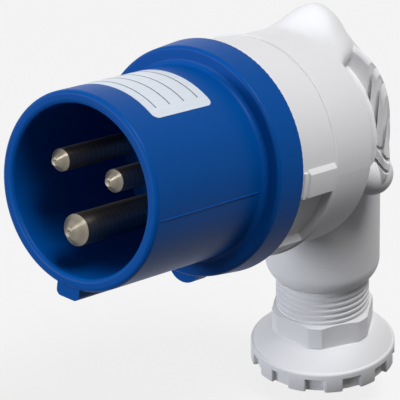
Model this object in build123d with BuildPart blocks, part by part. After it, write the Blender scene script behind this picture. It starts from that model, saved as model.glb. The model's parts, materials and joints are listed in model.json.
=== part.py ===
from build123d import *

import os
from math import cos, pi, radians, sin

# Angled industrial plug with two live pins and an earth pin, in millimetres.
# The plug axis is Y: the mouth is at the origin, the socket leaves towards -Y, up is +Z.

# Shroud and flange of the contact carrier
shroud_dia = 43.5
shroud_wall = 2.9
shroud_length = 36.0
rim_round = 1.0
cavity_depth = 37.5
floor_thickness = 6.0
flange_dia = 53.0
flange_thickness = 8.0
flange_taper = 0.7
flange_root_share = 0.3
flange_edge_share = 0.22

# Key and nib, both at the earth side
key_width = 6.3
key_height = 2.4
key_setback = 0.3
key_length = 12.0
key_round = 1.3
key_embed = 1.6
nib_width = 9.4
nib_height = 2.7
nib_length = 4.3

# Spigot that carries the locking ring and enters the housing
spigot_wall = 3.0
lug_height = 1.0
lug_ease = 0.1
lug_length = 3.5
lug_span = 40.0
lug_entry_ease = 1.0

# Contact pins
pin_circle_dia = 17.5
live_pin_dia = 5.0
earth_pin_dia = 7.0
pin_setback = 0.5
earth_lead = 2.0
live_cone_length = 1.9
earth_cone_length = 2.4
live_tip_dia = 1.8
earth_tip_dia = 2.1
tip_dimple_dia = 1.0
tip_dimple_depth = 0.4
pin_seat_step = 0.2
collar_rim = 1.2
collar_thickness = 2.0
pillar_rim = 0.8
pillar_length = 18.0
wire_hole_dia = 3.6
wire_hole_depth = 11.0

# Small screws of the terminals and of the retainer
screw_dia = 3.2
screw_head_dia = 5.4
screw_head_height = 1.8
screw_slot_width = 0.8
screw_slot_depth = 0.9
terminal_screw_inset = 4.5
retainer_thickness = 3.0
retainer_screw_bite = 4.0
retainer_boss_dia = 7.0

# Locking ring between flange and housing
gasket_thickness = 0.8
gasket_inset = 0.6
ring_step = 0.5
ring_length = 13.2
ring_edge_round = 0.5
ring_bead_length = 1.2
window_depth = 1.9
window_start = 95.8
window_stop = 131.0
latch_start = 81.5
latch_height = 0.7
latch_inset = 2.2
latch_length = 10.0
ring_repeat = 2

# Elbow housing
drum_dia = 49.4
drum_length = 13.2
drum_wall = 2.6
lip_step = 0.4
lip_length = 1.1
shoulder_length = 5.0
crease_drop = 3.5
crease_length = 1.6
elbow_distance = 85.6
elbow_rake = 12.5
dome_radius = 20.0
dome_setback = 7.1
cavity_wall = 4.0
neck_dia = 27.4
neck_length = 39.0
neck_end_inset = 1.9
neck_end_length = 4.2

# Hood over the elbow, lofted along the plug axis: place behind its crest, top, root width, root height
hood_crest = 77.5
hood_keel = 6.0
hood_keel_share = 0.8
hood_stations = [
    (-10.5, 24.3, 25.8, 20.6),
    (-7.0, 24.8, 25.8, 20.9),
    (-4.5, 26.4, 24.4, 21.0),
    (-2.2, 29.3, 22.4, 21.6),
    (0.0, 30.5, 21.2, 22.2),
    (2.3, 29.8, 19.2, 22.4),
    (5.0, 27.0, 17.2, 21.4),
    (8.5, 21.5, 16.0, 18.0),
    (11.5, 16.0, 14.0, 13.0),
]
# Its section: share of the root's half width, share of the height over the root
hood_shape = [(0.26, 0.92), (0.49, 0.73), (0.74, 0.42)]

# Finger wings on both sides of the elbow, behind a waist: right half of their outline as (x, z)
wing_front = 79.8
wing_top = 24.0
wing_foot = -12.0
wing_outline = [
    (9.0, 22.6),
    (14.8, 20.1),
    (19.2, 15.4),
    (21.4, 9.5),
    (22.1, 4.0),
    (23.3, -1.5),
    (23.2, -5.0),
    (20.8, -8.8),
    (17.0, -11.0),
]
# Stations of the wings: place behind their front, share of the outline
wing_stations = [(0.0, 0.965), (0.8, 1.0), (2.7, 0.945), (5.2, 0.85), (9.2, 0.66), (13.2, 0.4)]
bulb_radius = 5.0
bulb_out = 17.9
bulb_back = 82.3
bulb_down = 5.9

# Rib grooves in the front of the wings
rib_first = 15.7
rib_count = 3
rib_pitch = 2.5
rib_groove = 1.2
rib_depth = 1.5
rib_lean = 3.0
rib_foot = 1.0
rib_length = 24.0
# Toes of the ribs above the bulb: middle as (x, z), lean
rib_toes = [(21.8, 0.2, -41.0), (21.7, -2.6, -33.0)]
toe_width = 0.9
toe_length = 5.0

# Gland screw with hexagon and castellated hand wheel
thread_dia = 22.5
screw_exposed = 9.0
screw_engaged = 8.0
hex_across_flats = 23.2
hex_corner_dia = 25.6
hex_height = 5.9
hex_phase = -0.7
bell_dia = 24.4
bell_height = 4.0
wheel_dia = 35.0
wheel_rim = 1.6
wheel_edge_round = 0.6
skirt_height = 3.6
skirt_wall = 2.2
notch_count = 12
notch_share = 0.5
notch_depth = 1.3
notch_phase = 1.6
web_thickness = 2.2
cable_bore_dia = 14.0
bore_wall = 2.0

# Seal and slip ring above the gland screw
slip_ring_thickness = 1.5
seal_length = 8.0
seal_slack = 4.5
throat_dia = 16.0
slip_ring_ease = 0.4
seal_ease = 0.2

# Clearances
running_clearance = 0.05
slide_clearance = 0.2
seat_gap = 0.05

# Places along the plug axis
shroud_radius = shroud_dia / 2
bore_radius = shroud_radius - shroud_wall
flange_radius = flange_dia / 2
flange_step = flange_radius - flange_taper - shroud_radius
flange_root_round = flange_root_share * flange_step
flange_edge_round = flange_edge_share * flange_step
flange_back = shroud_length + flange_thickness
floor_back = cavity_depth + floor_thickness
drum_radius = drum_dia / 2
spigot_radius = drum_radius - drum_wall - lug_height - lug_ease
ring_front = flange_back + gasket_thickness
ring_back = ring_front + ring_length
ring_radius = drum_radius + ring_step
ring_bore_radius = spigot_radius + running_clearance
housing_front = ring_back + seat_gap
shoulder_back = housing_front + shoulder_length
spigot_end = shoulder_back + slide_clearance + lug_length
lip_radius = drum_radius + lip_step
drum_back = housing_front + drum_length
crease_back = drum_back + crease_length
dome_center = elbow_distance - dome_setback
dome_bore_radius = dome_radius - cavity_wall
retainer_front = floor_back + collar_thickness
retainer_back = retainer_front + retainer_thickness

# Gland frame: origin where the axes cross, Z up the gland axis
rake_sin = sin(radians(elbow_rake))
rake_cos = cos(radians(elbow_rake))
crossing = (0, elbow_distance, 0)
gland_up = (0, -rake_sin, rake_cos)
gland_axis = Axis(crossing, gland_up)
gland_plane = Plane(origin=crossing, x_dir=(1, 0, 0), z_dir=gland_up)
gland_section = Plane(origin=crossing, x_dir=(1, 0, 0), z_dir=(0, -rake_cos, -rake_sin))
neck_radius = neck_dia / 2
thread_radius = thread_dia / 2
neck_bore_radius = thread_radius + running_clearance
hex_top = -(neck_length + screw_exposed)
hex_bottom = hex_top - hex_height
wheel_top = hex_bottom - bell_height
skirt_top = wheel_top - wheel_rim
wheel_bottom = skirt_top - skirt_height
stem_top = -(neck_length - screw_engaged)
slip_ring_bottom = stem_top + seat_gap
slip_ring_top = slip_ring_bottom + slip_ring_thickness
seal_top = slip_ring_top + seal_length
seat_bottom = seal_top + seal_slack
wheel_radius = wheel_dia / 2
cable_radius = cable_bore_dia / 2

# Contact pins: diameter, cone length, tip diameter, tip's y, place as (x, z), way the screw points
pin_circle_radius = pin_circle_dia / 2
pin_rise = pin_circle_radius * sin(radians(30))
pin_spread = pin_circle_radius * cos(radians(30))
earth_tip = pin_setback - earth_lead
PINS = {
    "line": (live_pin_dia, live_cone_length, live_tip_dia, pin_setback, (pin_spread, pin_rise), 1),
    "neutral": (live_pin_dia, live_cone_length, live_tip_dia, pin_setback, (-pin_spread, pin_rise), 1),
    "earth": (earth_pin_dia, earth_cone_length, earth_tip_dia, earth_tip, (0, -pin_circle_radius), -1),
}


def across(y):
    """Plane across the plug axis at distance y behind the mouth, facing the mouth."""
    return Plane.XZ.offset(-y)


def corner(sketch, x, y):
    """The sketch corner nearest to a local point."""
    return sketch.vertices().sort_by_distance((x, y, 0))[0]


def ring_sector(y, inner, outer, start, stop):
    """Piece of a ring across the plug axis, with angles counted from the top towards +X."""
    with BuildSketch(across(y)) as sector:
        with BuildLine():
            inside = CenterArc((0, 0), inner, 90 - stop, stop - start)
            outside = CenterArc((0, 0), outer, 90 - stop, stop - start)
            Line(inside @ 0, outside @ 0)
            Line(inside @ 1, outside @ 1)
        make_face()
    return sector.sketch


def slotted_screw(seat, way, shank_length):
    """Cheese-head screw whose head stands on seat and points along way."""
    plane = Plane(origin=seat, x_dir=(1, 0, 0), z_dir=way)
    with BuildPart() as screw:
        with BuildSketch(plane):
            Circle(screw_dia / 2)
        extrude(amount=-shank_length)
        with BuildSketch(plane):
            Circle(screw_head_dia / 2)
        extrude(amount=screw_head_height)
        with BuildSketch(plane.offset(screw_head_height)):
            Rectangle(screw_head_dia + screw_slot_width, screw_slot_width)
        extrude(amount=-screw_slot_depth, mode=Mode.SUBTRACT)
    return screw


# Contact carrier: shroud, flange, floor and spigot in one moulding
with BuildPart() as contact_carrier:
    with BuildSketch() as profile:
        with BuildLine():
            Polyline(
                (0, cavity_depth),
                (bore_radius, cavity_depth),
                (bore_radius, 0),
                (shroud_radius, 0),
                (shroud_radius, shroud_length),
                (flange_radius - flange_taper, shroud_length),
                (flange_radius, flange_back),
                (spigot_radius, flange_back),
                (spigot_radius, spigot_end),
                (spigot_radius - spigot_wall, spigot_end),
                (spigot_radius - spigot_wall, floor_back),
                (0, floor_back),
                close=True,
            )
        make_face()
        fillet([corner(profile, bore_radius, 0), corner(profile, shroud_radius, 0)], rim_round)
        fillet(corner(profile, bore_radius, cavity_depth), rim_round)
        fillet(corner(profile, shroud_radius, shroud_length), flange_root_round)
        fillet(corner(profile, flange_radius - flange_taper, shroud_length), flange_edge_round)
        fillet(corner(profile, flange_radius, flange_back), flange_edge_round / 2)
    revolve(axis=Axis.Y)
    # Key under the shroud
    with BuildSketch(across(key_setback)):
        with Locations((0, -shroud_radius + (key_embed - key_height) / 2)):
            RectangleRounded(key_width, key_height + key_embed, key_round)
    extrude(amount=-key_length)
    # Half-round nib under the flange
    with BuildSketch(across(flange_back - nib_length)):
        with Locations((0, -flange_radius - nib_height + nib_width / 2)):
            Circle(nib_width / 2)
    extrude(amount=-nib_length)
    # Bayonet lugs behind the housing's shoulder
    for turn in range(ring_repeat):
        start = turn * 360 / ring_repeat - lug_span / 2
        sector = ring_sector(
            spigot_end - lug_length,
            spigot_radius - spigot_wall,
            spigot_radius + lug_height,
            start,
            start + lug_span,
        )
        extrude(sector, amount=-lug_length)
    # Boss for the retainer's screw
    with BuildSketch(across(floor_back)):
        Circle(retainer_boss_dia / 2)
    extrude(amount=-collar_thickness)
    with BuildSketch(across(retainer_front)):
        Circle(screw_dia / 2 + running_clearance)
    extrude(amount=collar_thickness + retainer_screw_bite, mode=Mode.SUBTRACT)
    # Pin holes through the floor
    for diameter, cone, tip, tip_y, place, way in PINS.values():
        with BuildSketch(across(cavity_depth)):
            with Locations(place):
                Circle(diameter / 2 + pin_seat_step + running_clearance)
        extrude(amount=-floor_thickness, mode=Mode.SUBTRACT)
contact_carrier.part.label = "contact_carrier"

# Contact pins, each turned with a collar and a terminal pillar, and their terminal screws
pieces = {"contact_carrier": contact_carrier.part}
pillar_end = retainer_front + pillar_length
terminal_y = pillar_end - terminal_screw_inset
for name, (diameter, cone, tip, tip_y, place, way) in PINS.items():
    pin_plane = Plane(origin=(place[0], 0, place[1]), x_dir=(1, 0, 0), z_dir=(0, 0, 1))
    pin_radius = diameter / 2
    pillar_radius = pin_radius + pillar_rim
    with BuildPart() as pin:
        with BuildSketch(pin_plane):
            with BuildLine():
                Polyline(
                    (0, tip_y + tip_dimple_depth),
                    (tip_dimple_dia / 2, tip_y),
                    (tip / 2, tip_y),
                    (pin_radius, tip_y + cone),
                    (pin_radius, cavity_depth),
                    (pin_radius + pin_seat_step, cavity_depth),
                    (pin_radius + pin_seat_step, floor_back),
                    (pin_radius + collar_rim, floor_back),
                    (pin_radius + collar_rim, retainer_front),
                    (pillar_radius, retainer_front),
                    (pillar_radius, pillar_end),
                    (wire_hole_dia / 2, pillar_end),
                    (wire_hole_dia / 2, pillar_end - wire_hole_depth),
                    (0, pillar_end - wire_hole_depth),
                    close=True,
                )
            make_face()
        revolve(axis=Axis(pin_plane.origin, (0, 1, 0)))
        screw_plane = Plane(origin=(place[0], terminal_y, place[1]), x_dir=(1, 0, 0), z_dir=(0, 0, way))
        with BuildSketch(screw_plane):
            Circle(screw_dia / 2 + running_clearance)
        extrude(amount=pillar_radius + screw_head_height, mode=Mode.SUBTRACT)
    pin.part.label = name + "_pin"
    pieces[name + "_pin"] = pin.part
    head_seat = (place[0], terminal_y, place[1] + way * pillar_radius)
    terminal_screw = slotted_screw(head_seat, (0, 0, way), pillar_radius - wire_hole_dia / 4)
    terminal_screw.part.label = name + "_terminal_screw"
    pieces[name + "_terminal_screw"] = terminal_screw.part

# Plate that keeps the pins' collars against the floor
with BuildPart() as pin_retainer:
    with BuildSketch(across(retainer_front)):
        Circle(spigot_radius - spigot_wall - slide_clearance)
        Circle(screw_dia / 2 + running_clearance, mode=Mode.SUBTRACT)
        for diameter, cone, tip, tip_y, place, way in PINS.values():
            with Locations(place):
                Circle(diameter / 2 + pillar_rim + running_clearance, mode=Mode.SUBTRACT)
    extrude(amount=-retainer_thickness)
pin_retainer.part.label = "pin_retainer"
pieces["pin_retainer"] = pin_retainer.part

retainer_bite = retainer_thickness + collar_thickness + retainer_screw_bite - slide_clearance
retainer_screw = slotted_screw((0, retainer_back, 0), (0, 1, 0), retainer_bite)
retainer_screw.part.label = "retainer_screw"
pieces["retainer_screw"] = retainer_screw.part

# Rubber ring between flange and locking ring
with BuildPart() as carrier_gasket:
    with BuildSketch(across(flange_back)):
        Circle(ring_radius - gasket_inset)
        Circle(ring_bore_radius, mode=Mode.SUBTRACT)
    extrude(amount=-gasket_thickness)
carrier_gasket.part.label = "carrier_gasket"
pieces["carrier_gasket"] = carrier_gasket.part

# Locking ring with two windows, open to the front, and two latch blocks
with BuildPart() as bayonet_ring:
    with BuildSketch() as profile:
        with BuildLine():
            Polyline(
                (ring_bore_radius, ring_front),
                (ring_radius, ring_front),
                (ring_radius, ring_back),
                (ring_bore_radius, ring_back),
                close=True,
            )
        make_face()
        front_edge = corner(profile, ring_radius, ring_front)
        back_edge = corner(profile, ring_radius, ring_back)
        fillet([front_edge, back_edge], ring_edge_round)
    revolve(axis=Axis.Y)
    for turn in range(ring_repeat):
        start = turn * 360 / ring_repeat
        window = ring_sector(
            ring_front,
            ring_radius - window_depth,
            2 * ring_radius,
            start + window_start,
            start + window_stop,
        )
        extrude(window, amount=-(ring_length - ring_bead_length), mode=Mode.SUBTRACT)
        latch = ring_sector(
            ring_front + latch_inset,
            ring_radius - window_depth,
            ring_radius + latch_height,
            start + latch_start,
            start + window_start,
        )
        extrude(latch, amount=-latch_length)
bayonet_ring.part.label = "bayonet_ring"
pieces["bayonet_ring"] = bayonet_ring.part

# Elbow housing: drum, dome, hood, ribbed finger wings and raked neck, with the wiring space inside
with BuildPart() as elbow_housing:
    with BuildSketch():
        with BuildLine():
            Polyline(
                (0, dome_center + dome_radius),
                (0, housing_front),
                (lip_radius, housing_front),
                (lip_radius, housing_front + lip_length),
                (drum_radius, housing_front + lip_length),
                (drum_radius, drum_back),
                (drum_radius - crease_drop, crease_back),
                (dome_radius, dome_center),
            )
            CenterArc((0, dome_center), dome_radius, 0, 90)
        make_face()
    revolve(axis=Axis.Y)
    # Hood that rises from the drum's top and falls behind the elbow
    for place, top, root_width, root_height in hood_stations:
        half = root_width / 2
        rise = top - root_height
        right = [(half * out, root_height + rise * up) for out, up in hood_shape]
        right = right + [(half, root_height), (half * hood_keel_share, root_height - hood_keel)]
        left = [(-x, z) for x, z in reversed(right)]
        with BuildSketch(across(hood_crest + place)):
            with BuildLine():
                Spline((0, top), *right, (0, root_height - 2 * hood_keel), *left, periodic=True)
            make_face()
    loft()
    # Finger wings with a bulb at each foot
    for place, share in wing_stations:
        right = [(share * x, share * z) for x, z in wing_outline]
        left = [(-x, z) for x, z in reversed(right)]
        with BuildSketch(across(wing_front + place)):
            with BuildLine():
                Spline((0, share * wing_top), *right, (0, share * wing_foot), *left, periodic=True)
            make_face()
    loft()
    with Locations((bulb_out, bulb_back, -bulb_down), (-bulb_out, bulb_back, -bulb_down)):
        Sphere(bulb_radius)
    # Upright rib grooves in the front of both wings
    with BuildSketch(across(wing_front)):
        for side in (-1, 1):
            for rib in range(rib_count):
                with Locations((side * (rib_first + rib * rib_pitch), rib_foot + rib_length / 2)):
                    Rectangle(rib_groove, rib_length, rotation=side * rib_lean)
            for out, up, lean in rib_toes:
                with Locations((side * out, up)):
                    Rectangle(toe_length, toe_width, rotation=side * lean)
    extrude(amount=-rib_depth, mode=Mode.SUBTRACT)
    # Neck down the gland axis
    with BuildSketch(gland_section):
        with BuildLine():
            side = Line((neck_radius, 0), (neck_radius, neck_end_length - neck_length))
            end = TangentArc(side @ 1, (neck_radius - neck_end_inset, -neck_length), tangent=side % 1)
            Polyline(end @ 1, (0, -neck_length), (0, 0), side @ 0)
        make_face()
    revolve(axis=gland_axis)
    # Spigot bore, shoulder with bayonet entries, and wiring space
    with BuildSketch():
        with BuildLine():
            Polyline(
                (0, housing_front),
                (ring_bore_radius, housing_front),
                (ring_bore_radius, shoulder_back),
                (drum_radius - drum_wall, shoulder_back),
                (drum_radius - drum_wall, drum_back - drum_wall),
                (dome_bore_radius, drum_back),
                (dome_bore_radius, dome_center),
            )
            CenterArc((0, dome_center), dome_bore_radius, 0, 90)
            Line((0, dome_center + dome_bore_radius), (0, housing_front))
        make_face()
    revolve(axis=Axis.Y, mode=Mode.SUBTRACT)
    for turn in range(ring_repeat):
        middle = (turn + 0.5) * 360 / ring_repeat
        entry = ring_sector(
            housing_front,
            ring_bore_radius - lug_height,
            spigot_radius + lug_height + slide_clearance,
            middle - lug_span / 2 - lug_entry_ease,
            middle + lug_span / 2 + lug_entry_ease,
        )
        extrude(entry, amount=-shoulder_length, mode=Mode.SUBTRACT)
    # Seat for the seal, throat above it and threaded bore below it
    with BuildSketch(gland_plane.offset(-neck_length)):
        Circle(neck_bore_radius)
    extrude(amount=neck_length + seat_bottom, mode=Mode.SUBTRACT)
    with BuildSketch(gland_plane.offset(seat_bottom)):
        Circle(throat_dia / 2)
    extrude(amount=-seat_bottom, mode=Mode.SUBTRACT)
elbow_housing.part.label = "elbow_housing"
pieces["elbow_housing"] = elbow_housing.part

# Rubber bush that grips the cable
with BuildPart() as cable_seal:
    with BuildSketch(gland_plane.offset(slip_ring_top)):
        Circle(neck_bore_radius - slide_clearance)
        Circle(cable_radius + seal_ease, mode=Mode.SUBTRACT)
    extrude(amount=seal_length)
cable_seal.part.label = "cable_seal"
pieces["cable_seal"] = cable_seal.part

# Slip ring between the turning gland screw and the seal
with BuildPart() as thrust_ring:
    with BuildSketch(gland_plane.offset(slip_ring_bottom)):
        Circle(neck_bore_radius - slide_clearance)
        Circle(cable_radius + slip_ring_ease, mode=Mode.SUBTRACT)
    extrude(amount=slip_ring_thickness)
thrust_ring.part.label = "thrust_ring"
pieces["thrust_ring"] = thrust_ring.part

# Gland screw: threaded stem, hexagon with turned corners, bell and castellated hand wheel
with BuildPart() as gland_screw:
    with BuildSketch(gland_section) as profile:
        with BuildLine():
            Polyline(
                (cable_radius, stem_top),
                (thread_radius, stem_top),
                (thread_radius, hex_top),
                (thread_radius, hex_bottom),
                (bell_dia / 2, hex_bottom),
                (wheel_radius, wheel_top),
                (wheel_radius, wheel_bottom),
                (wheel_radius - skirt_wall, wheel_bottom),
                (wheel_radius - skirt_wall, wheel_top - web_thickness),
                (cable_radius + bore_wall, hex_bottom - web_thickness),
                (cable_radius + bore_wall, wheel_bottom),
                (cable_radius, wheel_bottom),
                close=True,
            )
        make_face()
        fillet(corner(profile, wheel_radius, wheel_top), wheel_edge_round)
    revolve(axis=gland_axis)
    with BuildSketch(gland_plane.offset(hex_bottom)):
        RegularPolygon(hex_across_flats / 2, 6, major_radius=False, rotation=hex_phase)
        Circle(hex_corner_dia / 2, mode=Mode.INTERSECT)
        Circle(cable_radius, mode=Mode.SUBTRACT)
    extrude(amount=hex_height)
    # Grip pockets round the skirt, open below
    notch_width = notch_share * 2 * pi * wheel_radius / notch_count
    with BuildSketch(gland_plane.offset(wheel_bottom)):
        with PolarLocations(wheel_radius, notch_count, start_angle=notch_phase):
            Rectangle(2 * notch_depth, notch_width)
    extrude(amount=skirt_height, mode=Mode.SUBTRACT)
gland_screw.part.label = "gland_screw"
pieces["gland_screw"] = gland_screw.part

os.makedirs("parts", exist_ok=True)
for name, piece in pieces.items():
    export_step(piece, "parts/" + name + ".step")
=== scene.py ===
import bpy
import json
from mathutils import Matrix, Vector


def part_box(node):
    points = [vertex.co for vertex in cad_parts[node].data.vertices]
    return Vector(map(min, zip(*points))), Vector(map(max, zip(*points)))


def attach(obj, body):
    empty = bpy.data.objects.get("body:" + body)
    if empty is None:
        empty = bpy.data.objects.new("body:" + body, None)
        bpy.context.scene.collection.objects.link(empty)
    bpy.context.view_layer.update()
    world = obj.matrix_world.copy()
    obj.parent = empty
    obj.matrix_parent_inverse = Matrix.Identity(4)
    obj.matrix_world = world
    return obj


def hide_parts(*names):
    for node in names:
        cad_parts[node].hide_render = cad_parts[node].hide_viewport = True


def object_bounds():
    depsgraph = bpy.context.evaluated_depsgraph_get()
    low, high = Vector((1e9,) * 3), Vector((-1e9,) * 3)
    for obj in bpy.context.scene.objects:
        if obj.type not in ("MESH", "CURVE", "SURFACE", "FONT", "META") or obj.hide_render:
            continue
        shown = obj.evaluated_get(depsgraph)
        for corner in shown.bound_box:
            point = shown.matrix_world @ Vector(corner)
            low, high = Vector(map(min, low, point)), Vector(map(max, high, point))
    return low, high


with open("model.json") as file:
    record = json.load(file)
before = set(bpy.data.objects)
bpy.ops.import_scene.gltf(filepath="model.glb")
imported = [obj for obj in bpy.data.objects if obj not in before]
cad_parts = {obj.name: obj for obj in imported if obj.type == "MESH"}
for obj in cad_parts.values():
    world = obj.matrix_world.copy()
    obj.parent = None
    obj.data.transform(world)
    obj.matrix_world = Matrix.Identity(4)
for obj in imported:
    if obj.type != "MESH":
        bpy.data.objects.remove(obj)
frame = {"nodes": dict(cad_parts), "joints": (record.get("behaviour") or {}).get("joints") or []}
CAD_BOX = [list(corner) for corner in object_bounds()]

import json
from math import cos, pi, radians, sin, sqrt

import bmesh
import bpy
from mathutils import Matrix, Vector

bl_info = {
    "name": "Angled industrial plug",
    "version": (1, 1, 0),
    "blender": (4, 5, 0),
    "location": "View3D > Sidebar > Plug",
    "description": "Dresses the packed plug: finishes, locking ring, threaded gland screw, label and studio",
    "category": "Object",
}

MM = 0.001
# Points closer together than this, in metres, are one
MERGED = 1e-7
# How far a surface's roughness strays to either side
UNEVEN = 0.05

# Gland frame, read from the joint that turns the gland screw: Z runs up the gland axis
GLAND_TURN = next(joint for joint in frame["joints"] if joint["name"] == "gland_turn")
GLAND_UP = Vector(GLAND_TURN["axis"]).normalized()
GLAND_SIDE = Vector((1, 0, 0))
GLAND_REAR = GLAND_UP.cross(GLAND_SIDE)
ON_GLAND_AXIS = Vector(GLAND_TURN["pos_m"])
GLAND_ORIGIN = ON_GLAND_AXIS - GLAND_UP * (ON_GLAND_AXIS.z / GLAND_UP.z)
GLAND_FRAME = Matrix((GLAND_SIDE, GLAND_REAR, GLAND_UP)).transposed().to_4x4()
GLAND_FRAME.translation = GLAND_ORIGIN


# Properties

def length(name, value_mm, description):
    """A length property whose default is given in millimetres."""
    return bpy.props.FloatProperty(
        name=name, description=description, default=value_mm * MM, min=0.0, unit="LENGTH", precision=5
    )


def angle(name, value_deg, description):
    """An angle property whose default is given in degrees."""
    return bpy.props.FloatProperty(
        name=name, description=description, default=radians(value_deg), subtype="ANGLE"
    )


def count(name, value, description):
    """A property that counts like things, two at least."""
    return bpy.props.IntProperty(name=name, description=description, default=value, min=2)


def power(name, value, description):
    """A property for a lamp's power in watts."""
    return bpy.props.FloatProperty(name=name, description=description, default=value, min=0.0, unit="POWER")


def colour(name, value, description):
    """A colour property, written as an sRGB hex value."""
    return bpy.props.StringProperty(name=name, description=description, default=value)


class PlugFinishes(bpy.types.PropertyGroup):
    """Colours of the plug's finishes."""

    blue: colour("Blue moulding", "#004B98", "Polyamide of the contact carrier")
    pale: colour("Pale moulding", "#E6E6E8", "Polyamide of the ring, the elbow and the gland screw")
    nickel: colour("Contacts", "#8E877A", "Nickel plate on the brass pins")
    zinc: colour("Screws", "#B4B6BA", "Zinc plate on the steel screws")
    rubber: colour("Seals", "#151517", "Nitrile rubber")
    dull: colour("Pin retainer", "#3A3B3E", "Moulded insulating plate")
    slip: colour("Slip ring", "#D9D6CC", "Unfilled polyamide")
    film: colour("Label film", "#DAE2EC", "Polyester film of the label")
    ink: colour("Label ink", "#4A4E55", "Printed rules on the label")


class PlugRing(bpy.types.PropertyGroup):
    """Sizes of the locking ring; angles are counted from the top towards +X and repeat on the other side."""

    radius: length("Radius", 25.2, "Outside radius of the ring")
    bore: length("Bore radius", 21.05, "Inside radius of the ring")
    edge: length("Edge round", 0.5, "Radius of the ring's outer edge at the front")
    rail: length("Rail", 1.2, "Length of the rail behind the windows")
    rail_rise: length("Rail rise", 0.3, "Height of the rounded rail over the ring")
    rail_groove: length("Rail groove", 0.22, "Depth of the grooves on both sides of the rail")
    window_start: angle("Window start", 95.8, "Upper edge of a window")
    window_stop: angle("Window stop", 131.0, "Lower edge of a window")
    window_depth: length("Window depth", 1.9, "Depth of a window")
    latch_start: angle("Latch start", 81.5, "Upper edge of a latch block")
    latch_inset: length("Latch inset", 2.2, "Distance of a latch block behind the ring's front")
    latch_height: length("Latch height", 0.9, "Height of a latch block over the ring")
    latch_slope: length("Latch slope", 1.1, "Length of the sloped upper face of a latch block")
    bar_height: length("Bar height", 0.55, "Height of the bar between a latch block and the ring's front")
    bar_gap: length("Bar gap", 0.3, "Gap between that bar and the latch block")
    crisp: length("Crisp edge", 0.22, "Width over which a moulded edge turns")


class PlugGland(bpy.types.PropertyGroup):
    """Sizes of the gland screw; depths are counted down the gland axis from the elbow's crossing point."""

    stem_top: length("Stem top", 31.0, "Depth of the stem's upper end")
    hex_top: length("Hexagon top", 48.0, "Depth of the hexagon's upper face")
    hex_height: length("Hexagon height", 5.9, "Height of the hexagon")
    across_flats: length("Across flats", 23.2, "Width of the hexagon")
    corner_diameter: length("Corner diameter", 25.1, "Diameter the hexagon's corners are turned to")
    hex_chamfer: length("Hexagon chamfer", 0.35, "Height of the turned chamfer on top of the hexagon")
    hex_phase: angle("Hexagon phase", -0.7, "Turn of one corner about the gland axis")
    bell_height: length("Bell height", 4.0, "Height of the flared bell below the hexagon")
    bell_diameter: length("Bell diameter", 24.4, "Diameter of the bell under the hexagon")
    wheel_diameter: length("Wheel diameter", 35.0, "Outside diameter of the hand wheel")
    rim: length("Rim", 1.6, "Height of the plain rim above the grip pockets")
    rim_round: length("Rim round", 0.6, "Radius of the rim's upper edge")
    skirt: length("Skirt", 3.6, "Height of the grip pockets")
    skirt_wall: length("Skirt wall", 2.2, "Thickness of the wheel's skirt")
    web: length("Web", 2.2, "Thickness of the bell's wall")
    bore_diameter: length("Cable bore", 14.0, "Diameter of the hole for the cable")
    bore_wall: length("Bore wall", 2.0, "Thickness of the tube inside the wheel")
    thread_diameter: length("Thread diameter", 22.4, "Outside diameter of the thread")
    thread_depth: length("Thread depth", 0.8, "Height of a crest above the root")
    pitch: length("Thread pitch", 1.5, "Distance from crest to crest")
    crest: length("Thread crest", 0.55, "Width of the flat on a crest")
    pockets: count("Pockets", 12, "Grip pockets round the wheel")
    pocket_depth: length("Pocket depth", 1.3, "Depth of a grip pocket")
    pocket_phase: angle("Pocket phase", 1.6, "Turn of one pocket about the gland axis")
    tooth_round: length("Tooth round", 0.35, "Radius of the grip teeth's edges")


class PlugLabel(bpy.types.PropertyGroup):
    """Sizes of the label on top of the shroud and of the shroud's parting lines."""

    shroud_diameter: length("Shroud diameter", 43.5, "Outside diameter of the shroud")
    front: length("Front edge", 8.2, "Distance of the front edge behind the mouth")
    back: length("Back edge", 27.4, "Distance of the back edge behind the mouth")
    half_angle: angle("Half angle", 33.0, "Reach of the label to either side of the top")
    corner: length("Corner radius", 1.6, "Radius of the corners")
    film: length("Film", 0.08, "Thickness of the film")
    rule: length("Rule", 0.3, "Width of a printed rule")
    rules: count("Rules", 4, "Printed blank rules")
    margin: length("Margin", 2.6, "Distance of the printed rules from the edge")
    flash_width: length("Parting line width", 0.4, "Width of the flash left by the mould's halves")
    flash_height: length("Parting line height", 0.2, "Height of that flash")
    flash_front: length("Parting line front", 1.1, "Front end of the flash, behind the mouth")
    flash_back: length("Parting line back", 34.6, "Back end of the flash, behind the mouth")


class PlugStage(bpy.types.PropertyGroup):
    """Camera and light."""

    azimuth: angle("Azimuth", 37.242, "Camera's turn about the upright")
    elevation: angle("Elevation", 19.158, "Camera's height above the horizon")
    roll: angle("Roll", 7.024, "Camera's tilt about its own axis")
    distance: length("Distance", 623.95, "Camera's distance from its target")
    target: bpy.props.FloatVectorProperty(
        name="Target",
        description="Point the camera looks at",
        default=(0, 0.04254, -0.01020),
        subtype="TRANSLATION",
    )
    lens: bpy.props.FloatProperty(
        name="Lens", description="Focal length on a 36 mm sensor, in mm", default=252.0
    )
    key_power: power("Key light", 7.8, "Power of the light above")
    front_power: power("Front light", 9.8, "Power of the front light")
    back_power: power("Back light", 3.8, "Power of the light behind")
    room: bpy.props.FloatProperty(
        name="Room light", description="Strength of the even light of the room", default=0.19, min=0.0
    )
    paper: colour("Floor", "#F4F4F4", "Studio paper of the floor")
    floor_gap: length("Floor gap", 4.8, "Room under the plug, into which the gland screw can be turned out")


# Nodes and materials

def linear(value):
    """Linear RGBA of an sRGB hex colour."""
    channels = [int(value[i:i + 2], 16) / 255 for i in (1, 3, 5)]
    return [c / 12.92 if c <= 0.04045 else ((c + 0.055) / 1.055) ** 2.4 for c in channels] + [1.0]


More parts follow.
